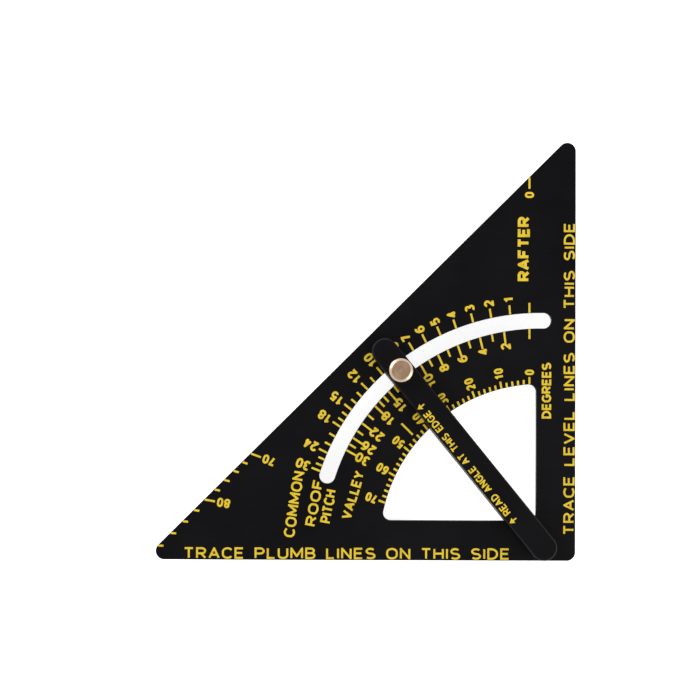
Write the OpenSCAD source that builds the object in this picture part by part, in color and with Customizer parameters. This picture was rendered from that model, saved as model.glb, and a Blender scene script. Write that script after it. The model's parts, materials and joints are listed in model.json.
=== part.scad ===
// Adjustable speed square: a flat triangular plate with an arc slot and a window,
// and a two-bar fence that swings about a pivot near the right-angle corner.
// The fence is clamped anywhere along the slot by a thumb nut on the upper bar.
//
// Millimetres. The plate lies in XY with its right angle at +X, -Y. +Z points out of
// the marked face. The origin is under the middle of the plate, level with the
// underside of the lower fence bar, on which the tool lies.

/* [Plate] */
// Length of the seat edge and of the plumb edge
leg = 171.5; // [168:0.5:190]
// Thickness of the plate
plate_t = 3.2; // [2.4:0.1:5]
// Radius of the plate's three corners
corner_r = 3.5; // [1.5:0.1:5]

/* [Pivot] */
// Distance of the pivot from the seat edge
pivot_in = 13.9; // [12:0.1:15]
// Distance of the pivot from the plumb edge
pivot_up = 6.2; // [5.6:0.1:8]

/* [Arc slot] */
// Radius of the slot's centre line about the pivot
slot_r = 92.1; // [84:0.1:96]
// Width of the slot
slot_w = 6.4; // [5:0.1:7.5]
// Angle of the slot's first end, from the seat edge
slot_from = -0.5; // [-1:0.1:2]
// Angle of the slot's last end, from the seat edge
slot_to = 72.2; // [60:0.1:73]

/* [Window] */
// Radius of the window's curved side about the pivot
window_r = 66.1; // [50:0.1:72]
// Width of the plate left beside the seat edge
window_side = 16; // [14.5:0.1:20]
// Width of the plate left above the plumb edge
window_foot = 16.2; // [14:0.1:20]
// Radius of the window's corners
window_corner_r = 3.1; // [1:0.1:5]

/* [Fence bars] */
// Width of each bar
bar_w = 10.5; // [9.6:0.1:11]
// Height of each bar
bar_h = 9.5; // [8:0.1:12]
// Distance between the centres of a bar's round ends
bar_reach = 102; // [100:0.5:104]
// Chamfer along a bar's edges
bar_chamfer = 0.5; // [0.2:0.1:0.6]
// Angle at which the fence is set, from the seat edge
set_angle = 39.2; // [1:0.1:70]

/* [Screws and washers] */
// Diameter of both screws
screw_d = 4.2; // [3.5:0.1:4.5]
// Diameter of the screws' flat heads
head_d = 8.2; // [6.5:0.1:8.4]
// Depth of the pivot screw's tapped hole in the upper bar
tapped_depth = 6.5; // [4:0.1:7.5]
// Outer diameter of the friction washers
washer_d = 9.2; // [7:0.1:9.4]
// Thickness of the friction washers
washer_t = 0.5; // [0.3:0.1:1]

/* [Thumb nut] */
// Diameter over the grip
nut_d = 9.5; // [9.2:0.1:13]
// Height of the nut
nut_h = 5.5; // [5:0.1:9]
// Number of grooves in the grip
nut_grooves = 40; // [24:2:44]
// Thickness of the nut's captive washer
captive_t = 0.6; // [0.4:0.1:1]

/* [Hidden] */
// Rounding of circles
$fn = 96;
// Gap between faces that slide on each other
slide_gap = 0.05;
// Radial play of a shaft that turns in a hole
running_play = 0.05;
// Radial play of a screw in a hole that it passes or is screwed into
thread_play = 0.03;
clearance_play = 0.15;
// How far a cutting shape passes the face that it opens
overcut = 1;
// How far a round corner laps over the sides that it joins, so that no sliver is left
lap = 0.001;

// Heights of the stack, from the fence's underside upwards
lower_washer_z = bar_h;
plate_z = lower_washer_z + washer_t + slide_gap;
upper_washer_z = plate_z + plate_t + slide_gap;
arm_z = upper_washer_z + washer_t;
captive_z = arm_z + bar_h + slide_gap;
nut_z = captive_z + captive_t + slide_gap;

// Places in the plate
half = leg / 2;
pivot_x = half - pivot_in;
pivot_y = pivot_up - half;
window_x = half - window_side;
window_y = window_foot - half;

// Flat heads: 82 degree cones, set a little below the fence's underside
head_sink = 0.3;
head_h = (head_d - screw_d) / 2 / tan(41);
socket_across = 2.4;
socket_depth = 1.3;

// Inside of the thumb nut
collar_d = 7;
collar_h = 0.9;
nut_bore_h = nut_h - 1.2;
stud_top_z = nut_z + nut_bore_h - 0.4;
nut_edge = 1;
nut_edge_h = 0.7;
nut_foot = 0.3;
groove_d = 0.5;

// A direction in the plate, at an angle from the seat edge
function ray(angle) = [-sin(angle), cos(angle)];

// The plate's outline: straight sides between three equal round corners
module plate_outline() {
    centres = [[half - corner_r, corner_r - half],
               [half - corner_r, half - corner_r],
               [corner_r - half, corner_r - half]];
    normals = [0, 135, 270];
    polygon([for (i = [0:2]) for (end = [0, 1])
        centres[(i + end) % 3] + corner_r * [cos(normals[i]), sin(normals[i])]]);
    for (c = centres) translate(c) circle(r = corner_r + lap);
}

// The window: a quarter ring's inside with straight sides and round corners
module window_outline() {
    pivot = [pivot_x, pivot_y];
    inner_r = window_r - window_corner_r;
    side_x = window_x - window_corner_r;
    foot_y = window_y + window_corner_r;
    top = [side_x, pivot_y + sqrt(pow(inner_r, 2) - pow(side_x - pivot_x, 2))];
    left = [pivot_x - sqrt(pow(inner_r, 2) - pow(foot_y - pivot_y, 2)), foot_y];
    stretch = window_r / inner_r;
    intersection() {
        translate(pivot) circle(r = window_r);
        polygon([[side_x, window_y], [window_x, foot_y], [window_x, top[1]],
                 pivot + stretch * (top - pivot), pivot + 2 * window_r * ray(45),
                 pivot + stretch * (left - pivot), [left[0], window_y]]);
    }
    for (c = [[side_x, foot_y], top, left]) translate(c) circle(r = window_corner_r + lap);
}

// The slot as a solid tall enough to cut the plate
module slot_cutter() {
    height = plate_t + 2 * overcut;
    translate([pivot_x, pivot_y, plate_z - overcut]) {
        rotate(90 + slot_from) rotate_extrude(angle = slot_to - slot_from)
            translate([slot_r - slot_w / 2, 0]) square([slot_w, height]);
        for (end = [slot_from, slot_to])
            translate(slot_r * ray(end)) cylinder(d = slot_w + 2 * lap, h = height);
    }
}

// Puts a shape at the pivot with its +X along the fence
module on_fence(along = 0, z = 0) {
    translate([pivot_x, pivot_y, z]) rotate(90 + set_angle) translate([along, 0, 0]) children();
}

// A bar with two round ends and every edge chamfered
module bar() {
    side = bar_w / 2;
    half_section = [[0, 0], [side - bar_chamfer, 0], [side, bar_chamfer],
                    [side, bar_h - bar_chamfer], [side - bar_chamfer, bar_h], [0, bar_h]];
    rotate([90, 0, 90]) linear_extrude(bar_reach) {
        polygon(half_section);
        mirror([1, 0]) polygon(half_section);
    }
    rotate(90) rotate_extrude(angle = 180) polygon(half_section);
    translate([bar_reach, 0, 0]) rotate(-90) rotate_extrude(angle = 180) polygon(half_section);
}

// A flat-head screw standing on its head, with a hexagon socket
module flat_screw(top_z) {
    difference() {
        union() {
            cylinder(d1 = head_d, d2 = screw_d, h = head_h);
            translate([0, 0, head_h]) cylinder(d = screw_d, h = top_z - head_sink - head_h);
        }
        translate([0, 0, -overcut])
            cylinder(d = socket_across, h = socket_depth + overcut, $fn = 6);
    }
}

// A flat ring
module ring(outer_d, inner_d, height) {
    difference() {
        cylinder(d = outer_d, h = height);
        translate([0, 0, -overcut]) cylinder(d = inner_d, h = height + 2 * overcut);
    }
}

module friction_washer() {
    ring(washer_d, screw_d + 2 * clearance_play, washer_t);
}

module square_plate() {
    color("#1b1c1e") difference() {
        translate([0, 0, plate_z]) linear_extrude(plate_t) difference() {
            plate_outline();
            window_outline();
        }
        slot_cutter();
        translate([pivot_x, pivot_y, plate_z - overcut])
            cylinder(d = screw_d + 2 * running_play, h = plate_t + 2 * overcut);
    }
}

module upper_arm() {
    color("#242527") difference() {
        on_fence(z = arm_z) bar();
        on_fence(z = arm_z - overcut)
            cylinder(d = screw_d + 2 * thread_play, h = tapped_depth + overcut);
        on_fence(slot_r, arm_z - overcut)
            cylinder(d = screw_d + 2 * thread_play, h = bar_h + 2 * overcut);
    }
}

module lower_fence() {
    color("#202123") difference() {
        on_fence() bar();
        for (along = [0, slot_r]) {
            on_fence(along, -overcut) cylinder(d = head_d, h = overcut + head_sink);
            on_fence(along, head_sink) cylinder(d1 = head_d, d2 = screw_d, h = head_h);
            on_fence(along) cylinder(d = screw_d + 2 * thread_play, h = bar_h + overcut);
        }
    }
}

module pivot_screw() {
    color("#3a3b3d") on_fence(0, head_sink) flat_screw(arm_z + tapped_depth - 0.5);
}

module clamp_screw() {
    color("#3a3b3d") on_fence(slot_r, head_sink) flat_screw(stud_top_z);
}

module upper_pivot_washer() {
    color("#2b2c2e") on_fence(0, upper_washer_z) friction_washer();
}

module lower_pivot_washer() {
    color("#2b2c2e") on_fence(0, lower_washer_z) friction_washer();
}

module upper_clamp_washer() {
    color("#2b2c2e") on_fence(slot_r, upper_washer_z) friction_washer();
}

module lower_clamp_washer() {
    color("#2b2c2e") on_fence(slot_r, lower_washer_z) friction_washer();
}

// A thrust washer whose collar is snapped into the foot of the thumb nut
module captive_washer() {
    color("#a98f63") on_fence(slot_r, captive_z) {
        ring(nut_d - 2 * nut_foot, screw_d + 2 * running_play, captive_t);
        translate([0, 0, captive_t]) ring(collar_d, screw_d + 2 * running_play, collar_h);
    }
}

// The thumb nut: blind, grooved for the fingers and turned flat on top
module clamp_nut() {
    outer = nut_d / 2;
    bore = screw_d / 2 + running_play;
    seat = collar_d / 2 + running_play;
    seat_h = collar_h + 2 * slide_gap;
    color("#b08d57") on_fence(slot_r, nut_z) difference() {
        rotate_extrude() polygon([[seat, 0], [outer - nut_foot, 0], [outer, nut_foot],
            [outer, nut_h - nut_edge_h], [outer - nut_edge, nut_h], [0, nut_h],
            [0, nut_bore_h], [bore, nut_bore_h], [bore, seat_h], [seat, seat_h]]);
        for (i = [0:nut_grooves - 1]) rotate(i * 360 / nut_grooves)
            translate([outer, 0, -overcut]) cylinder(d = groove_d, h = nut_h + 2 * overcut, $fn = 4);
    }
}

square_plate();
upper_arm();
lower_fence();
pivot_screw();
upper_pivot_washer();
lower_pivot_washer();
clamp_screw();
upper_clamp_washer();
lower_clamp_washer();
captive_washer();
clamp_nut();
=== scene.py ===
"""Looks of an adjustable speed square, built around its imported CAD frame.

Shapes are worked out in millimetres and turned into metres where a mesh is made.
"""

import json
import math

import bmesh
import bpy
from mathutils import Matrix, Vector
from mathutils.geometry import convex_hull_2d, delaunay_2d_cdt


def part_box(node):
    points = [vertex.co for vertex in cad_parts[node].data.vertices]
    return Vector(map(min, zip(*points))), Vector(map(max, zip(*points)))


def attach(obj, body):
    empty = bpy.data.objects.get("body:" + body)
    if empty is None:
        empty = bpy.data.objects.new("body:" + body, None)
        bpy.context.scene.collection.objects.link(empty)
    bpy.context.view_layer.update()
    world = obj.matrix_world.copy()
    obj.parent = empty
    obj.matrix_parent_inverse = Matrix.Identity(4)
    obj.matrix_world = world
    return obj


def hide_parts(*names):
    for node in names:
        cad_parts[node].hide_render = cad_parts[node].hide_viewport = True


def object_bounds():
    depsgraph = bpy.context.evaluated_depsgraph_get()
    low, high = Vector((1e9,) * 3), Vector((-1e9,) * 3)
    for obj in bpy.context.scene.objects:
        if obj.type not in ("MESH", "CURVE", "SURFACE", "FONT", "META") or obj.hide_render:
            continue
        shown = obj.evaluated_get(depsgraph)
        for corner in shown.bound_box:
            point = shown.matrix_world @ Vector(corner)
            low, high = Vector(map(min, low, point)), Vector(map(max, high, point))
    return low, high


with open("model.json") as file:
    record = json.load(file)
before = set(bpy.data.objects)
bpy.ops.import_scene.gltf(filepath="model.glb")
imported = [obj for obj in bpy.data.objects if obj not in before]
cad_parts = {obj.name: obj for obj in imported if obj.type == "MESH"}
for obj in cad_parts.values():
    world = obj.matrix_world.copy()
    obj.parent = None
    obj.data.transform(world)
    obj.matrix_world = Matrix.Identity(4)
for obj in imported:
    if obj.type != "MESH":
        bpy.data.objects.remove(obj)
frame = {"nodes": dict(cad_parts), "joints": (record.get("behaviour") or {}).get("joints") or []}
cad_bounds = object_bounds()

MM = 0.001


def node_box(node):
    """A CAD node's lowest and highest corners, in millimetres."""
    low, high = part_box(node)
    return low / MM, high / MM


def joint_place(name):
    """Where a joint's axis is, in millimetres."""
    joint = next(j for j in frame["joints"] if j["name"] == name)
    return Vector(joint["pos_m"]) / MM


# ---------------------------------------------------------------- places from the frame
plate_low, plate_high = node_box("square_plate")
HALF = plate_high.x
PLATE_TOP = plate_high.z
PIVOT = joint_place("arm_swing").xy
NUT_FOOT = joint_place("nut_turn")
ARM_LOW, ARM_TOP = node_box("upper_arm")[0].z, node_box("upper_arm")[1].z
FENCE_TOP = node_box("lower_fence")[1].z
HEAD_Z = node_box("clamp_screw")[0].z
CAPTIVE_Z = node_box("captive_washer")[0].z
SET_ANGLE = math.degrees(math.atan2(PIVOT.x - NUT_FOOT.x, NUT_FOOT.y - PIVOT.y))
SLOT_R = (NUT_FOOT.xy - PIVOT).length

# ---------------------------------------------------------------- sizes
CORNER_R = 3.5
WINDOW_R = 66.1
WINDOW_X = HALF - 16
WINDOW_Y = 16.2 - HALF
WINDOW_CORNER_R = 3.1
SLOT_W = 6.4
SLOT_ENDS = (-0.5, 72.2)
PLATE_RIM = 0.1

BAR_SIDE = 5.25
BAR_REACH = 102
BAR_CHAMFER = 0.5
BAR_EASE = 0.12

SCREW_R = 2.1
HEAD_R = 4.1
HEAD_H = 2.3
SOCKET_SIDE = 1.2
SOCKET_DEPTH = 1.3
TAPPED_DEPTH = 6.5
THREAD_LENGTH = 6
THREAD_PITCH = 25.4 / 32
THREAD_DEPTH = 0.4

NUT_R = 4.75
NUT_H = 5.5
NUT_EDGE = 1.0
NUT_EDGE_H = 0.7
NUT_GROOVES = 40
GROOVE_DEPTH = 0.25
GRIP_TOP = 4.1
NUT_FOOT_INSET = 0.3
NUT_ROOF = 1.2
END_RECESS = 0.15
COLLAR_R = 3.5
COLLAR_H = 0.9
CAPTIVE_T = 0.6

INK_SUNK = 0.01
INK_PROUD = 0.03
INK_MARGIN = 0.15

ARC_STEP = 2.5
ROUND_SEGMENTS = 4
HOLD = 0.03


# ---------------------------------------------------------------- rows and solids
def rounded(points, radius):
    """A profile with its inner corners rounded, and a holding point on each side of each."""
    points = [Vector(p) for p in points]
    out = [points[0]]
    for before, corner, after in zip(points, points[1:], points[2:]):
        back, on = (before - corner).normalized(), (after - corner).normalized()
        half_turn = (math.pi - back.angle(on)) / 2
        cut = radius * math.tan(half_turn)
        centre = corner + (back + on).normalized() * radius / math.cos(half_turn)
        first = (corner + back * cut - centre).normalized()
        last = (corner + on * cut - centre).normalized()
        out.append(corner + back * (cut + HOLD))
        out += [centre + radius * first.slerp(last, i / ROUND_SEGMENTS)
                for i in range(ROUND_SEGMENTS + 1)]
        out.append(corner + on * (cut + HOLD))
    return out + [points[-1]]


def loop(arcs, grow):
    """A closed loop of (centre, radius, start, end) arcs joined by straight lines.

    An arc with end > start bulges outwards. The loop is moved outwards by grow.
    """
    points, kept = [], []
    for centre, radius, start, end in arcs:
        reach = radius + (grow if end > start else -grow)
        steps = max(2, math.ceil(abs(end - start) / ARC_STEP))
        for i in range(steps + 1):
            angle = math.radians(start + (end - start) * i / steps)
            spoke = Vector((math.cos(angle), math.sin(angle)))
            plain = Vector(centre) + radius * spoke
            if not any((plain - other).length < 1e-3 for other in kept[-1:] + kept[:1]):
                kept.append(plain)
                points.append(Vector(centre) + reach * spoke)
    return points


def outline_rows(arcs, profile):
    """Rows of a solid that follow a loop; the profile is of (grow, z)."""
    return [[(p.x, p.y, z) for p in loop(arcs, grow)] for grow, z in profile]


def round_rows(profile, columns=96, centre=(0, 0), radius_at=lambda r, z, angle: r):
    """Rows of a turned solid; the profile is of (radius, z)."""
    turns = [2 * math.pi * i / columns for i in range(columns)]
    return [[(centre[0] + radius_at(r, z, a) * math.cos(a),
              centre[1] + radius_at(r, z, a) * math.sin(a), z) for a in turns]
            for r, z in profile]


def solid(name, rows, holes=()):
    """A closed solid from rows of points, bottom to top, with a flat cap at each end.

    A hole is (rows, through); its rows start at the bottom cap, and one that isn't
    through ends in a flat floor of its own.
    """
    mesh = bmesh.new()

    def wall(rows):
        grid = [[mesh.verts.new(Vector(p) * MM) for p in row] for row in rows]
        for low, high in zip(grid, grid[1:]):
            for i in range(len(low)):
                mesh.faces.new((low[i - 1], low[i], high[i], high[i - 1])).smooth = True
        return grid

    def cap(loops):
        corners = [v for one in loops for v in one]
        faces, start = [], 0
        for one in loops:
            faces.append(list(range(start, start + len(one))))
            start += len(one)
        places = [v.co.xy / MM for v in corners]
        _, _, triangles, origins, _, _ = delaunay_2d_cdt(places, [], faces, 2, 1e-7)
        for triangle in triangles:
            mesh.faces.new([corners[origins[i][0]] for i in triangle])

    outer = wall(rows)
    bottom, top = [outer[0]], [outer[-1]]
    for hole_rows, through in holes:
        inner = wall(hole_rows)
        bottom.append(inner[0])
        if through:
            top.append(inner[-1])
        else:
            mesh.faces.new(inner[-1])
    cap(bottom)
    cap(top)
    bmesh.ops.recalc_face_normals(mesh, faces=mesh.faces)
    return piece(name, mesh)


def piece(name, mesh):
    """A Blender object from a bmesh, which is freed."""
    data = bpy.data.meshes.new(name)
    mesh.to_mesh(data)
    mesh.free()
    made = bpy.data.objects.new(name, data)
    bpy.context.scene.collection.objects.link(made)
    return made


def finish_piece(made, body, look, place=None, node=None):
    """Puts a piece in place, its turn in its mesh, on its body and material."""
    if place is not None:
        made.data.transform(place.to_3x3().to_4x4())
        made.matrix_world = Matrix.Translation(place.translation)
    made.data.materials.append(look)
    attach(made, body)
    if node:
        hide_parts(node)


def at(x, y, z=0.0, turn=0.0):
    """A place in millimetres and a turn about Z in degrees."""
    return Matrix.Translation(Vector((x, y, z)) * MM) @ Matrix.Rotation(math.radians(turn), 4, "Z")


# ---------------------------------------------------------------- materials
class Look:
    """A procedural material whose textures are measured in millimetres."""

    def __init__(self, name, **sockets):
        self.material = bpy.data.materials.new(name)
        self.material.use_nodes = True
        self.nodes = self.material.node_tree.nodes
        self.links = self.material.node_tree.links
        self.shader = self.nodes["Principled BSDF"]
        for socket, value in sockets.items():
            self.shader.inputs[socket.replace("_", " ")].default_value = value
        self.place = self.nodes.new("ShaderNodeTexCoord")
        self.mapping = self.millimetres()

    def millimetres(self, stretch=1, turn=0):
        """Coordinates in millimetres, drawn out along a direction in the XY plane."""
        mapping = self.nodes.new("ShaderNodeMapping")
        mapping.vector_type = "TEXTURE"
        mapping.inputs["Scale"].default_value = (stretch * MM, MM, MM)
        mapping.inputs["Rotation"].default_value = (0, 0, math.radians(turn))
        self.links.new(self.place.outputs["Object"], mapping.inputs["Vector"])
        return mapping

    def noise(self, scale, detail=4, mapping=None):
        texture = self.nodes.new("ShaderNodeTexNoise")
        texture.inputs["Scale"].default_value = scale
        texture.inputs["Detail"].default_value = detail
        self.links.new((mapping or self.mapping).outputs["Vector"], texture.inputs["Vector"])
        return texture.outputs["Fac"]

    def rings(self, scale, distortion):
        """Concentric rings about the piece's own Z axis."""
        texture = self.nodes.new("ShaderNodeTexWave")
        texture.wave_type = "RINGS"
        texture.rings_direction = "Z"
        texture.inputs["Scale"].default_value = scale
        texture.inputs["Distortion"].default_value = distortion
        texture.inputs["Detail"].default_value = 2
        self.links.new(self.mapping.outputs["Vector"], texture.inputs["Vector"])
        return texture.outputs["Fac"]

    def nearness(self, reach):
        """1 on the piece's own Z axis, falling to 0 at a distance of reach from it."""
        mapping = self.nodes.new("ShaderNodeMapping")
        mapping.inputs["Scale"].default_value = (1 / (reach * MM), 1 / (reach * MM), 0)
        self.links.new(self.place.outputs["Object"], mapping.inputs["Vector"])
        texture = self.nodes.new("ShaderNodeTexGradient")
        texture.gradient_type = "SPHERICAL"
        self.links.new(mapping.outputs["Vector"], texture.inputs["Vector"])
        return texture.outputs["Fac"]

    def turned(self, strength):
        """Highlights drawn out across the marks of a lathe."""
        tangent = self.nodes.new("ShaderNodeTangent")
        tangent.direction_type = "RADIAL"
        tangent.axis = "Z"
        self.shader.inputs["Anisotropic"].default_value = strength
        self.set("Tangent", tangent.outputs["Tangent"])

    def ramp(self, value, low, high, to_low, to_high):
        """Maps a value's range to a number for a socket."""
        node = self.nodes.new("ShaderNodeMapRange")
        node.inputs["From Min"].default_value = low
        node.inputs["From Max"].default_value = high
        node.inputs["To Min"].default_value = to_low
        node.inputs["To Max"].default_value = to_high
        self.links.new(value, node.inputs["Value"])
        return node.outputs["Result"]

    def blend(self, value, *stops):
        """A colour from a value, through (place, colour) stops."""
        node = self.nodes.new("ShaderNodeValToRGB")
        elements = node.color_ramp.elements
        while len(elements) < len(stops):
            elements.new(0.5)
        for element, (place, colour) in zip(elements, stops):
            element.position = place
            element.color = (*colour, 1)
        self.links.new(value, node.inputs["Fac"])
        return node.outputs["Color"]

    def add(self, first, second, share):
        """first plus second times share."""
        node = self.nodes.new("ShaderNodeMath")
        node.operation = "MULTIPLY_ADD"
        node.inputs[1].default_value = share
        self.links.new(second, node.inputs[0])
        self.links.new(first, node.inputs[2])
        return node.outputs["Value"]

    def relief(self, height, depth):
        """Bump, with its depth in millimetres."""
        node = self.nodes.new("ShaderNodeBump")
        node.inputs["Distance"].default_value = depth * MM
        self.links.new(height, node.inputs["Height"])
        self.links.new(node.outputs["Normal"], self.shader.inputs["Normal"])

    def set(self, socket, output):
        self.links.new(output, self.shader.inputs[socket])


def black_anodised(name, stretch, turn=0):
    """Satin black aluminium: fine blasted grain, faint rolling marks and handling blooms."""
    look = Look(name, Specular_IOR_Level=0.13)
    blooms = look.noise(0.035, 3)
    rolling = look.noise(1.2, 3, look.millimetres(stretch, turn))
    fine = look.noise(5.5, 2)
    mixed = look.add(blooms, rolling, 0.35)
    look.set("Base Color", look.blend(mixed, (0.35, (0.0018, 0.0012, 0.0018)),
                                      (0.62, (0.0026, 0.0021, 0.0029)), (1.0, (0.0038, 0.0033, 0.0042))))
    look.set("Roughness", look.ramp(mixed, 0.4, 0.95, 0.33, 0.46))
    look.relief(look.add(fine, rolling, 0.5), 0.006)
    return look.material


def screen_ink():
    """Yellow screen-printed ink, a little uneven where it lies thin."""
    look = Look("screen_ink", Specular_IOR_Level=0.35)
    patches = look.noise(0.5, 3)
    grain = look.noise(7, 2)
    mixed = look.add(patches, grain, 0.4)
    look.set("Base Color", look.blend(mixed, (0.40, (0.54, 0.35, 0.022)),
                                      (0.62, (0.69, 0.48, 0.020)), (0.95, (0.78, 0.57, 0.032))))
    look.set("Roughness", look.ramp(mixed, 0.4, 1.0, 0.42, 0.6))
    look.relief(grain, 0.008)
    return look.material


def turned_brass():
    """Turned brass: a pale rim whose colour is a painted highlight, and an end tarnished in patches between
    fine rings.
    """
    look = Look("turned_brass", Metallic=1.0)
    patches = look.noise(0.35, 3)
    fine_rings = look.rings(1.9, 0.6)
    coarse_rings = look.rings(0.55, 1.4)
    scratches = look.noise(6, 2)
    rim_highlight_and_tarnish = look.add(look.nearness(10), look.add(patches, coarse_rings, 0.3), 0.08)
    # Out at the rim chamfer and side the colour turns pale and whitish: painted highlight standing in for the
    # chamfer's bright reflection; nearer the axis it follows the tarnish patches and rings.
    look.set("Base Color", look.blend(rim_highlight_and_tarnish, (0.64, (0.62, 0.49, 0.38)), (0.68, (0.46, 0.29, 0.17)),
                                      (0.71, (0.70, 0.46, 0.30)), (0.84, (0.76, 0.49, 0.32)),
                                      (0.92, (0.69, 0.46, 0.31)), (1.0, (0.79, 0.52, 0.35))))
    look.set("Roughness", look.ramp(patches, 0.3, 0.7, 0.26, 0.38))
    look.turned(0.35)
    look.relief(look.add(look.add(fine_rings, coarse_rings, 0.6), scratches, 0.5), 0.006)
    return look.material


def black_oxide():
    """Oiled black steel with worn edges of the turning marks."""
    look = Look("black_oxide", Metallic=1.0)
    patches = look.noise(0.8, 3)
    rings = look.rings(1.6, 0.8)
    look.set("Base Color", look.blend(look.add(patches, rings, 0.15), (0.4, (0.035, 0.035, 0.038)),
                                      (0.8, (0.09, 0.088, 0.09))))
    look.set("Roughness", look.ramp(patches, 0.3, 0.7, 0.32, 0.5))
    look.relief(rings, 0.01)
    return look.material


def black_nylon():
    """Moulded black nylon with a fine matt texture."""
    look = Look("black_nylon")
    cloud = look.noise(0.6, 3)
    pimples = look.noise(4, 1)
    look.set("Base Color", look.blend(cloud, (0.35, (0.010, 0.010, 0.011)), (0.7, (0.018, 0.018, 0.019))))
    look.set("Roughness", look.ramp(cloud, 0.3, 0.7, 0.5, 0.65))
    look.relief(pimples, 0.02)
    return look.material


def studio_floor():
    """Plain white table, lit a little from within so that it stays white."""
    look = Look("studio_floor", Roughness=0.9, Specular_IOR_Level=0.1,
                Emission_Color=(1, 1, 1, 1), Emission_Strength=0.82)
    cloud = look.noise(0.004, 2)
    look.set("Base Color", look.blend(cloud, (0.3, (0.80, 0.80, 0.80)), (0.7, (0.83, 0.83, 0.83))))
    return look.material


PLATE_LOOK = black_anodised("black_plate", 12)
BAR_LOOK = black_anodised("black_bars", 20, 90 + SET_ANGLE)
INK_LOOK = screen_ink()
BRASS_LOOK = turned_brass()
STEEL_LOOK = black_oxide()
NYLON_LOOK = black_nylon()


# ---------------------------------------------------------------- the plate
def edge_profile(low, high, rim, side=1):
    """Straight wall with a rounded rim at each end; side -1 is for a hole."""
    inset = -side * (rim + 0.1)
    return rounded([(inset, low), (0, low), (0, high), (inset, high)], rim)


def ray(angle):
    """A direction in the plate, at an angle from the seat edge."""
    return Vector((-math.sin(math.radians(angle)), math.cos(math.radians(angle))))


def window_arcs():
    """The window's three corners and its curved side."""
    r = WINDOW_CORNER_R
    inner_r = WINDOW_R - r
    side_x, foot_y = WINDOW_X - r, WINDOW_Y + r
    top = Vector((side_x, PIVOT.y + math.sqrt(inner_r ** 2 - (side_x - PIVOT.x) ** 2)))
    left = Vector((PIVOT.x - math.sqrt(inner_r ** 2 - (foot_y - PIVOT.y) ** 2), foot_y))
    top_turn, left_turn = (math.degrees(math.atan2(c.y - PIVOT.y, c.x - PIVOT.x)) for c in (top, left))
    return [((side_x, foot_y), r, -90, 0), (top, r, 0, top_turn),
            (PIVOT, WINDOW_R, top_turn, left_turn), (left, r, left_turn, 270)]


def slot_arcs():
    """The arc slot, with a round end at each of its limits."""
    first, last = (90 + end for end in SLOT_ENDS)
    return [(PIVOT, SLOT_R + SLOT_W / 2, first, last),
            (PIVOT + SLOT_R * ray(SLOT_ENDS[1]), SLOT_W / 2, last, last + 180),
            (PIVOT, SLOT_R - SLOT_W / 2, last, first),
            (PIVOT + SLOT_R * ray(SLOT_ENDS[0]), SLOT_W / 2, first + 180, first + 360)]


def make_plate():
    """The plate, with its window, slot and pivot hole cut through."""
    far = HALF - CORNER_R
    outline = [((far, -far), CORNER_R, -90, 0), ((far, far), CORNER_R, 0, 135),
               ((-far, -far), CORNER_R, 135, 270)]
    opening = edge_profile(plate_low.z, PLATE_TOP, PLATE_RIM, -1)
    pivot_hole = [(PIVOT, SCREW_R + 0.05, 0, 360)]
    plate = solid("plate_blank", outline_rows(outline, edge_profile(plate_low.z, PLATE_TOP, PLATE_RIM)),
                  [(outline_rows(arcs, opening), True) for arcs in (window_arcs(), slot_arcs(), pivot_hole)])
    finish_piece(plate, "plate", PLATE_LOOK, node="square_plate")


# ---------------------------------------------------------------- the fence
FENCE_PLACE = at(PIVOT.x, PIVOT.y, turn=90 + SET_ANGLE)


def bar_rows(low, high):
    """A bar with two round ends, its +X along the fence, chamfered all round."""
    ends = [((BAR_REACH, 0), BAR_SIDE, -90, 90), ((0, 0), BAR_SIDE, 90, 270)]
    c = BAR_CHAMFER
    profile = rounded([(-c - 0.1, low), (-c, low), (0, low + c), (0, high - c), (-c, high), (-c - 0.1, high)],
                      BAR_EASE)
    return outline_rows(ends, profile)


def make_bars():
    """The arm above the plate and the fence below it."""
    bore = SCREW_R + 0.03
    blind = rounded([(bore + 0.3, ARM_LOW), (bore, ARM_LOW), (bore, ARM_LOW + TAPPED_DEPTH)], 0.1)
    through = rounded([(bore + 0.3, ARM_LOW), (bore, ARM_LOW), (bore, ARM_TOP), (bore + 0.3, ARM_TOP)], 0.1)
    arm = solid("upper_bar", bar_rows(ARM_LOW, ARM_TOP),
                [(round_rows(blind), False), (round_rows(through, centre=(SLOT_R, 0)), True)])
    finish_piece(arm, "fence", BAR_LOOK, FENCE_PLACE, "upper_arm")

    sink = HEAD_R + 0.05
    countersink = rounded([(sink + 0.1, 0), (sink, 0), (sink, HEAD_Z), (SCREW_R + 0.05, HEAD_Z + HEAD_H),
                           (SCREW_R + 0.05, FENCE_TOP), (SCREW_R + 0.35, FENCE_TOP)], 0.06)
    fence = solid("lower_bar", bar_rows(0, FENCE_TOP),
                  [(round_rows(countersink, centre=(along, 0)), True) for along in (0, SLOT_R)])
    finish_piece(fence, "fence", BAR_LOOK, FENCE_PLACE, "lower_fence")


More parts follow.
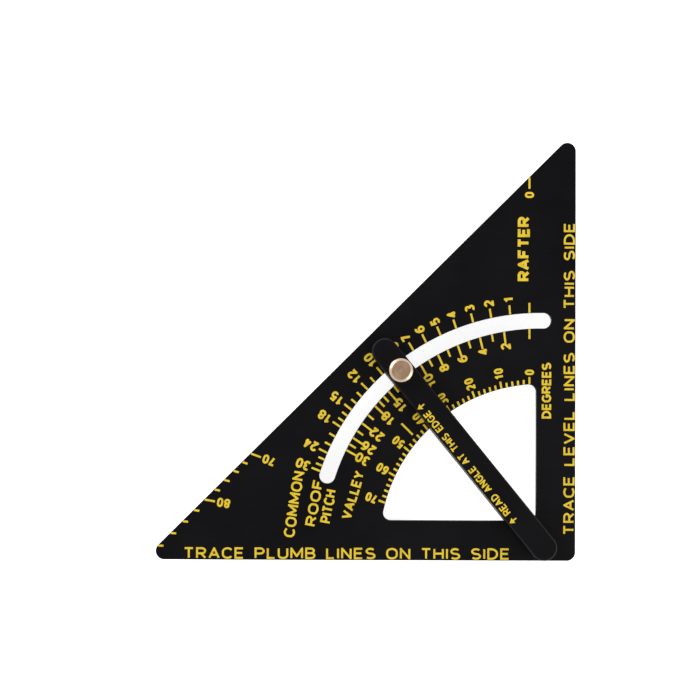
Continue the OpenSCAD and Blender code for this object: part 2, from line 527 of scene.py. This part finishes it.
def flat_screw(name, top):
    """A flat-head screw on its head, from z 0, with a hexagon socket and a right-hand thread."""
    thread_from = top - THREAD_LENGTH
    rows = math.ceil(THREAD_LENGTH / THREAD_PITCH * 8)
    tip = 0.3

    def threaded(r, z, angle):
        if not thread_from < z < top - tip:
            return r
        phase = (z / THREAD_PITCH - angle / (2 * math.pi)) % 1
        fade = min(1, (z - thread_from) / THREAD_PITCH)
        return r - THREAD_DEPTH * fade * abs(2 * phase - 1)

    head = rounded([(HEAD_R - 0.6, 0), (HEAD_R, 0), (SCREW_R, HEAD_H), (SCREW_R, thread_from)], 0.05)
    thread = [(SCREW_R, thread_from + (THREAD_LENGTH - tip) * i / rows) for i in range(1, rows)]
    end = [(SCREW_R - THREAD_DEPTH, top - tip), (SCREW_R - THREAD_DEPTH - 0.2, top)]
    corners = [(SOCKET_SIDE * Vector((math.cos(a), math.sin(a))), math.degrees(a))
               for a in (math.radians(60 * i) for i in range(6))]
    socket = [(place * 0.95, SOCKET_SIDE * 0.05, turn - 30, turn + 30) for place, turn in corners]
    socket_profile = [(0.12, 0), (0, 0.12), (0, SOCKET_DEPTH)]
    return solid(name, round_rows(head + thread + end, 64, radius_at=threaded),
                 [(outline_rows(socket, socket_profile), False)])


def make_screws():
    """The pivot screw and the clamp screw, each on the fence's centre line."""
    for name, node, along in (("pivot_flat_screw", "pivot_screw", 0),
                              ("clamp_flat_screw", "clamp_screw", SLOT_R)):
        screw = flat_screw(name, node_box(node)[1].z - HEAD_Z)
        place = FENCE_PLACE @ at(along, 0, HEAD_Z)
        finish_piece(screw, "fence", STEEL_LOOK, place, node)


# ---------------------------------------------------------------- the thumb nut
def make_nut():
    """The grooved thumb nut and the thrust washer in its foot."""
    pitch = 2 * math.pi / NUT_GROOVES

    def grooved(r, z, angle):
        if z > GRIP_TOP:
            return r
        off_centre = abs((angle + pitch / 2) % pitch - pitch / 2) * NUT_R
        return min(r, NUT_R - max(0, GROOVE_DEPTH - off_centre))

    ring, skirt = NUT_R - NUT_EDGE, NUT_H - NUT_EDGE_H
    foot = NUT_R - NUT_FOOT_INSET
    grip = rounded([(foot - 0.5, 0), (foot, 0), (NUT_R, NUT_FOOT_INSET), (NUT_R, GRIP_TOP)], 0.07)
    end = rounded([(NUT_R, skirt - 0.2), (NUT_R, skirt), (ring, NUT_H), (ring - 0.1, NUT_H),
                   (ring - 0.2, NUT_H - END_RECESS), (0.5, NUT_H - END_RECESS)], 0.04)
    bore, mouth = SCREW_R + 0.05, COLLAR_R + 0.05
    seat = rounded([(mouth + 0.3, 0), (mouth, 0), (mouth, COLLAR_H + 0.1), (bore, COLLAR_H + 0.1),
                    (bore, NUT_H - NUT_ROOF)], 0.06)
    nut = solid("thumb_nut", round_rows(grip + end, NUT_GROOVES * 8, radius_at=grooved),
                [(round_rows(seat), False)])
    finish_piece(nut, "nut", BRASS_LOOK, at(*NUT_FOOT), "clamp_nut")

    top = CAPTIVE_T + COLLAR_H
    collar = rounded([(foot - 0.4, 0), (foot, 0), (foot, CAPTIVE_T), (COLLAR_R, CAPTIVE_T),
                      (COLLAR_R, top), (COLLAR_R - 0.3, top)], 0.08)
    hole = rounded([(bore + 0.3, 0), (bore, 0), (bore, top), (bore + 0.3, top)], 0.08)
    washer = solid("thrust_washer", round_rows(collar), [(round_rows(hole), True)])
    finish_piece(washer, "nut_washer", BRASS_LOOK, at(NUT_FOOT.x, NUT_FOOT.y, CAPTIVE_Z),
                 "captive_washer")


# ---------------------------------------------------------------- printed marks
# Letters are strokes in a box of height 1, of points (x, y) and of arcs
# (centre x, centre y, radius x, radius y, from, to), in degrees.
BOWL = [(0.3, 0.31, 0.3, 0.31, 0, 360)]
STROKES = {
    "0": [[(0.3, 0.65, 0.3, 0.35, 0, 180), (0.3, 0.35, 0.3, 0.35, 180, 360), (0.6, 0.65)]],
    "1": [[(0, 0.74), (0.3, 1), (0.3, 0)]],
    "2": [[(0.3, 0.7, 0.29, 0.3, 165, -35), (0.02, 0), (0.6, 0)]],
    "3": [[(0.29, 0.76, 0.26, 0.24, 150, -90)], [(0.29, 0.26, 0.3, 0.26, 90, -150)]],
    "4": [[(0.62, 0.27), (0, 0.27), (0.42, 1), (0.42, 0)]],
    "5": [[(0.55, 1), (0.09, 1), (0.04, 0.5), (0.29, 0.31, 0.31, 0.31, 140, -145)]],
    "6": [[(0.42, 0.36, 0.42, 0.64, 65, 180)], BOWL],
    "7": [[(0, 1), (0.58, 1), (0.2, 0)]],
    "8": [[(0.3, 0.76, 0.25, 0.24, 0, 360)], [(0.3, 0.27, 0.3, 0.27, 0, 360)]],
    "A": [[(0, 0), (0.34, 1), (0.68, 0)], [(0.12, 0.33), (0.56, 0.33)]],
    "B": [[(0.34, 0.52), (0, 0.52), (0, 1), (0.34, 0.76, 0.22, 0.24, 90, -90)],
          [(0, 0.52), (0, 0), (0.34, 0.26, 0.26, 0.26, -90, 90)]],
    "C": [[(0.34, 0.62, 0.34, 0.38, 35, 180), (0.34, 0.38, 0.34, 0.38, 180, 325)]],
    "D": [[(0, 0), (0, 1), (0.22, 0.5, 0.42, 0.5, 90, -90), (0, 0)]],
    "E": [[(0.54, 1), (0, 1), (0, 0), (0.54, 0)], [(0, 0.52), (0.48, 0.52)]],
    "F": [[(0.54, 1), (0, 1), (0, 0)], [(0, 0.5), (0.46, 0.5)]],
    "G": [[(0.34, 0.62, 0.34, 0.38, 35, 180), (0.34, 0.38, 0.34, 0.38, 180, 360), (0.68, 0.47), (0.4, 0.47)]],
    "H": [[(0, 0), (0, 1)], [(0.62, 0), (0.62, 1)], [(0, 0.52), (0.62, 0.52)]],
    "I": [[(0, 0), (0, 1)]],
    "L": [[(0, 1), (0, 0), (0.5, 0)]],
    "M": [[(0, 0), (0, 1), (0.39, 0.2), (0.78, 1), (0.78, 0)]],
    "N": [[(0, 0), (0, 1), (0.62, 0), (0.62, 1)]],
    "O": [[(0.35, 0.62, 0.35, 0.38, 0, 180), (0.35, 0.38, 0.35, 0.38, 180, 360), (0.7, 0.62)]],
    "P": [[(0, 0), (0, 1), (0.34, 0.73, 0.25, 0.27, 90, -90), (0, 0.46)]],
    "R": [[(0, 0), (0, 1), (0.34, 0.73, 0.25, 0.27, 90, -90), (0, 0.46)], [(0.3, 0.46), (0.6, 0)]],
    "S": [[(0.3, 0.75, 0.28, 0.25, 35, 270), (0.3, 0.25, 0.3, 0.25, 90, -145)]],
    "T": [[(0, 1), (0.6, 1)], [(0.3, 1), (0.3, 0)]],
    "U": [[(0, 1), (0.31, 0.3, 0.31, 0.3, 180, 360), (0.62, 1)]],
    "V": [[(0, 1), (0.34, 0), (0.68, 1)]],
    "Y": [[(0, 1), (0.33, 0.48), (0.66, 1)], [(0.33, 0.48), (0.33, 0)]],
}
LETTER_GAP = 0.3
WORD_GAP = 0.62
SHARP_TURN = 95


def stroke_path(items):
    """The points of one stroke."""
    path = []
    for item in items:
        if len(item) == 2:
            path.append(Vector(item))
            continue
        x, y, rx, ry, start, end = item
        steps = max(3, math.ceil(abs(end - start) / 15))
        for i in range(steps + 1):
            angle = math.radians(start + (end - start) * i / steps)
            path.append(Vector((x + rx * math.cos(angle), y + ry * math.sin(angle))))
    return [p for i, p in enumerate(path) if i == 0 or (p - path[i - 1]).length > 1e-4]


def fat_line(path, width):
    """Convex shapes that cover a line of a given width: one for each step, and a disc at a sharp turn."""
    shapes = []
    closed = (path[0] - path[-1]).length < 1e-3
    ways = [(b - a).normalized() for a, b in zip(path, path[1:])]

    def joint(i):
        """Half the width across the line at point i, and whether the turn there is sharp."""
        before, after = (ways[-1] if closed else None) if i == 0 else ways[i - 1], \
            (ways[0] if closed else None) if i == len(ways) else ways[i]
        if before is None or after is None:
            return None, False
        across = Vector((-before.y, before.x)) + Vector((-after.y, after.x))
        if math.degrees(before.angle(after)) > SHARP_TURN:
            return None, True
        return across.normalized() * width / 2 / math.cos(before.angle(after) / 2), False

    for i, way in enumerate(ways):
        plain = Vector((-way.y, way.x)) * width / 2
        (first, _), (last, sharp) = joint(i), joint(i + 1)
        first, last = first or plain, last or plain
        a, b = path[i], path[i + 1]
        corners = [a - first, b - last, b + last, a + first]
        shapes.append([corners[k] for k in convex_hull_2d(corners)])
        if sharp:
            shapes.append([b + width / 2 * Vector((math.cos(t), math.sin(t)))
                           for t in (math.radians(15 * k) for k in range(24))])
    return shapes


def glyph_width(letter):
    """A letter's width, as a share of its height."""
    return max(p.x for items in STROKES[letter] for p in stroke_path(items))


def glyph(letter, x, wide, tall, stroke):
    """A letter's shapes, its left end at x and its foot at 0."""
    shapes = []
    for items in STROKES[letter]:
        path = [Vector((x + stroke / 2 + p.x * wide, stroke / 2 + p.y * (tall - stroke)))
                for p in stroke_path(items)]
        shapes += fat_line(path, stroke)
    return shapes


def words(text, length, tall, stroke):
    """A line of capitals, spread over a given length from x 0."""
    starts, pen = [], 0.0
    for letter in text:
        starts.append(pen)
        pen += WORD_GAP if letter == " " else glyph_width(letter) + LETTER_GAP
    wide = (length - stroke) / (pen - LETTER_GAP)
    return [shape for letter, start in zip(text, starts) if letter != " "
            for shape in glyph(letter, start * wide, wide, tall, stroke)]


def number(value, digit, gap, tall, stroke):
    """A number with digits of one width, from x 0."""
    shapes = []
    for i, letter in enumerate(str(value)):
        spare = (0.6 - glyph_width(letter)) / 2 if letter == "1" else 0
        wide = (digit - stroke) / 0.6
        shapes += glyph(letter, i * (digit + gap) + spare * wide, wide, tall, stroke)
    return shapes


def placed(shapes, origin, right):
    """Shapes moved so that x runs along right from origin."""
    right = Vector(right).normalized()
    up = Vector((-right.y, right.x))
    return [[Vector(origin) + p.x * right + p.y * up for p in shape] for shape in shapes]


def bar_mark(start, end, width):
    """A straight mark from start to end."""
    return fat_line([Vector(start), Vector(end)], width)


def print_marks(name, groups, top, body, place=None):
    """Thin raised ink. Each group of convex shapes is merged before it is given its thickness."""
    mesh = bmesh.new()
    low, high = top - INK_SUNK, top + INK_PROUD
    for shapes in groups:
        points, faces = [], []
        for shape in shapes:
            faces.append(list(range(len(points), len(points) + len(shape))))
            points += shape
        places, _, triangles, _, _, sources = delaunay_2d_cdt(points, [], faces, 0, 1e-5)
        kept = [t for t, source in zip(triangles, sources) if source]
        used = sorted({i for t in kept for i in t})
        rows = [{i: mesh.verts.new(Vector((places[i].x, places[i].y, z)) * MM) for i in used}
                for z in (low, high)]
        edges = {(a, b) for t in kept for a, b in zip(t, t[1:] + t[:1])}
        for t in kept:
            mesh.faces.new([rows[1][i] for i in t])
            mesh.faces.new([rows[0][i] for i in reversed(t)])
        for a, b in sorted(edges):
            if (b, a) not in edges:
                mesh.faces.new((rows[0][a], rows[0][b], rows[1][b], rows[1][a]))
    bmesh.ops.recalc_face_normals(mesh, faces=mesh.faces)
    finish_piece(piece(name, mesh), body, INK_LOOK, place)


# ---------------------------------------------------------------- scales
# A mark for a fence angle lies along the fence's reading edge at that angle. The scales
# are centred a little off the pivot and turned a little.
PRINT_SHIFT = Vector((0.41, -0.45))
PRINT_TURN = 0.13
READING_SIDE = BAR_SIDE
TICK_W = 0.82
ZERO_END = 4.2
DIGIT, DIGIT_GAP, DIGIT_TALL, DIGIT_STROKE = 2.8, 0.35, 4.1, 0.92
SMALL_TALL, SMALL_STROKE = 3.8, 0.85


def reading_line(angle, along, up=0.0):
    """A point on the printed line of a fence angle, with up measured across it."""
    way = ray(angle + PRINT_TURN)
    across = Vector((-way.y, way.x))
    return PIVOT + PRINT_SHIFT + along * way + (READING_SIDE + up) * across


def reach_to(radius, angle):
    """How far along an angle's line a circle about the pivot is."""
    start = reading_line(angle, 0) - PIVOT
    along = start.dot(ray(angle + PRINT_TURN))
    return math.sqrt(radius ** 2 - start.length_squared + along ** 2) - along


def reach_to_edge(angle):
    """How far along an angle's line the plate's long edge is."""
    start, way = reading_line(angle, 0), ray(angle + PRINT_TURN)
    return (CORNER_R * math.sqrt(2) + start.x - start.y) / (way.y - way.x)


def tick(angle, start, end):
    """A mark along an angle's reading line."""
    return bar_mark(reading_line(angle, start), reading_line(angle, end), TICK_W)


def scale_number(value, angle, start=None, end=None, digit=DIGIT, tall=DIGIT_TALL, stroke=DIGIT_STROKE):
    """A number centred on the reading line, from start outwards or up to end."""
    count = len(str(value))
    length = count * digit + (count - 1) * DIGIT_GAP
    along = start if start is not None else end - length
    return placed(number(value, digit, DIGIT_GAP, tall, stroke),
                  reading_line(angle, along, -tall / 2), ray(angle + PRINT_TURN))


def slope_scale(name, run, outward, numbered, plain, ends):
    """Marks for rise in inches over a run, on the outer (1) or inner (-1) side of the slot.

    The ends of long marks, short marks and the near ends of numbers are measured from the slot.
    """
    groups = []
    long_end, short_end, number_end = ends
    for rise in numbered + plain:
        angle = math.degrees(math.atan2(rise, run))
        end = short_end if rise in plain else long_end if rise else ZERO_END
        edge = SLOT_R + outward * SLOT_W / 2
        start, stop, place = (reach_to(edge + outward * off, angle) for off in (INK_MARGIN, end, number_end))
        shapes = tick(angle, start, stop)
        if rise and rise in numbered:
            shapes += scale_number(rise, angle, **{"start" if outward > 0 else "end": place})
        groups.append(shapes)
    print_marks(name, groups, PLATE_TOP, "plate")


def window_scale():
    """Degrees round the window's curved side, with an extra mark at 45."""
    groups = [tick(45, reach_to(WINDOW_R + 3.3, 45), reach_to(WINDOW_R + 9.8, 45))]
    for angle in range(0, 71, 2):
        numbered = angle % 10 == 0
        shapes = tick(angle, reach_to(WINDOW_R + INK_MARGIN, angle),
                      reach_to(WINDOW_R + (3 if numbered else 2), angle))
        if numbered:
            shapes += scale_number(angle, angle, start=reach_to(WINDOW_R + (3.6 if angle else 3.8), angle),
                                   digit=2.25, tall=SMALL_TALL, stroke=SMALL_STROKE)
        groups.append(shapes)
    print_marks("marks_window_degrees", groups, PLATE_TOP, "plate")


def edge_scale():
    """Degrees at the long edge, for 0 and for 70 and over."""
    groups = []
    for angle in (0, *range(70, 90, 2)):
        edge = reach_to_edge(angle)
        numbered = angle % 10 == 0
        length = 4.9 if angle == 0 else 4.6 if numbered else 2.5
        shapes = tick(angle, edge - length, edge - 2 * INK_MARGIN)
        if numbered:
            shapes += scale_number(angle, angle, end=edge - (5.5 if angle else 6.2), digit=2.5,
                                   tall=SMALL_TALL, stroke=SMALL_STROKE)
        groups.append(shapes)
    print_marks("marks_edge_degrees", groups, PLATE_TOP, "plate")


def label(text, start, end, tall, stroke):
    """Words on the plate, their feet on the line from start to end."""
    run = Vector(end) - Vector(start)
    return placed(words(text, run.length, tall, stroke), start, run)


def plate_words():
    """Generic words at the places where the object has its own."""
    print_marks("marks_plumb_words", [label("TRACE PLUMB LINES ON THIS SIDE", (-74.3, -85.42), (58.9, -85.42),
                                            4.7, 0.8)], PLATE_TOP, "plate")
    print_marks("marks_seat_words", [label("TRACE LEVEL LINES ON THIS SIDE", (85.44, -75.1), (85.44, 52.7),
                                           4.6, 0.8)], PLATE_TOP, "plate")
    print_marks("marks_title", [label("RAFTER", (66.9, 28.7), (66.9, 55.2), 5.0, 1.2)], PLATE_TOP, "plate")
    print_marks("marks_labels", [
        label("DEGREES", (75.8, -27.6), (75.8, -4.7), 3.9, 0.85),
        label("COMMON", (-29.2, -76.8), (-25.1, -50.0), 4.6, 0.85),
        label("ROOF", (-20.6, -72.2), (-17.2, -53.5), 4.35, 0.85),
        label("PITCH", (-14.4, -71.0), (-12.0, -57.5), 4.4, 0.85),
        label("VALLEY", (-6.2, -69.6), (-0.4, -50.1), 4.2, 0.85)], PLATE_TOP, "plate")


def arm_words():
    """Words along the arm, and an arrow at each end that points to the reading edge."""
    groups = [placed(words("READ ANGLE AT THIS EDGE", 53, 3.15, 0.58), (19.7, 1.2), (1, 0))]
    for along in (16.5, 75.5):
        groups.append(bar_mark((along, 1.2), (along, 3.2), 0.55)
                      + [[Vector((along + 1.3, 2.7)), Vector((along, 4.6)), Vector((along - 1.3, 2.7))]])
    print_marks("marks_arm_words", groups, ARM_TOP, "fence", FENCE_PLACE)


def make_marks():
    """Everything printed on the plate and the arm."""
    slope_scale("marks_common_scale", 12, 1, (0, 1, 2, 3, 4, 5, 6, 7, 8, 10, 12, 15, 18, 24, 30),
                (9, 11, 13, 14, 16, 17, 20, 22, 26, 28), (3.9, 2.8, 4.65))
    slope_scale("marks_valley_scale", 12 * math.sqrt(2), -1, (0, 2, 4, 6, 8, 10, 12, 15, 18, 22, 26, 30),
                (3, 5, 7, 9, 11, 13, 14, 16, 17, 20, 24, 28), (5.0, 3.2, 4.75))
    window_scale()
    edge_scale()
    plate_words()
    arm_words()


# ---------------------------------------------------------------- studio
def area_light(name, place, size, power):
    """A soft square light aimed at the object."""
    data = bpy.data.lights.new(name, "AREA")
    data.size = size
    data.energy = power
    light = bpy.data.objects.new(name, data)
    light.location = place
    light.rotation_euler = (-Vector(place)).to_track_quat("-Z", "Y").to_euler()
    bpy.context.scene.collection.objects.link(light)


def make_world():
    """A soft surround: bright round the horizon, dimmer overhead."""
    world = bpy.data.worlds.new("studio_world")
    world.use_nodes = True
    bpy.context.scene.world = world
    nodes, links = world.node_tree.nodes, world.node_tree.links
    place = nodes.new("ShaderNodeTexCoord")
    split = nodes.new("ShaderNodeSeparateXYZ")
    fade = nodes.new("ShaderNodeMapRange")
    fade.interpolation_type = "SMOOTHSTEP"
    fade.inputs["From Min"].default_value = 0.15
    fade.inputs["From Max"].default_value = 0.9
    fade.inputs["To Min"].default_value = 1.15
    fade.inputs["To Max"].default_value = 0.36
    links.new(place.outputs["Generated"], split.inputs["Vector"])
    links.new(split.outputs["Z"], fade.inputs["Value"])
    links.new(fade.outputs["Result"], nodes["Background"].inputs["Strength"])
    nodes["Background"].inputs["Color"].default_value = (1, 1, 1, 1)


def make_floor():
    """A large white disc level with the object's lowest point."""
    mesh = bmesh.new()
    bmesh.ops.create_circle(mesh, cap_ends=True, segments=96, radius=4)
    floor = piece("studio_floor", mesh)
    floor.location.z = cad_bounds[0][2]
    floor.data.materials.append(studio_floor())


CAMERA_PLACE = (-11.76, -13.06, PLATE_TOP + 677)
CAMERA_TILT = (1.113, -0.429, 0.261)


def make_camera():
    """Above the marked face, tilted by a degree so that it looks at the middle of the plate."""
    data = bpy.data.cameras.new("camera")
    data.lens = 85
    data.sensor_width = 36
    camera = bpy.data.objects.new("camera", data)
    camera.location = Vector(CAMERA_PLACE) * MM
    camera.rotation_euler = [math.radians(turn) for turn in CAMERA_TILT]
    bpy.context.scene.collection.objects.link(camera)
    bpy.context.scene.camera = camera


make_plate()
make_bars()
make_screws()
make_nut()
make_marks()
for washer in ("upper_pivot_washer", "lower_pivot_washer", "upper_clamp_washer", "lower_clamp_washer"):
    materials = frame["nodes"][washer].data.materials
    materials.clear()
    materials.append(NYLON_LOOK)

make_world()
make_floor()
area_light("key_light", (-0.55, 0.45, 0.55), 0.5, 4.5)
area_light("fill_light", (0.6, -0.35, 0.5), 0.6, 3.0)
make_camera()
bpy.context.scene.view_settings.view_transform = "Standard"
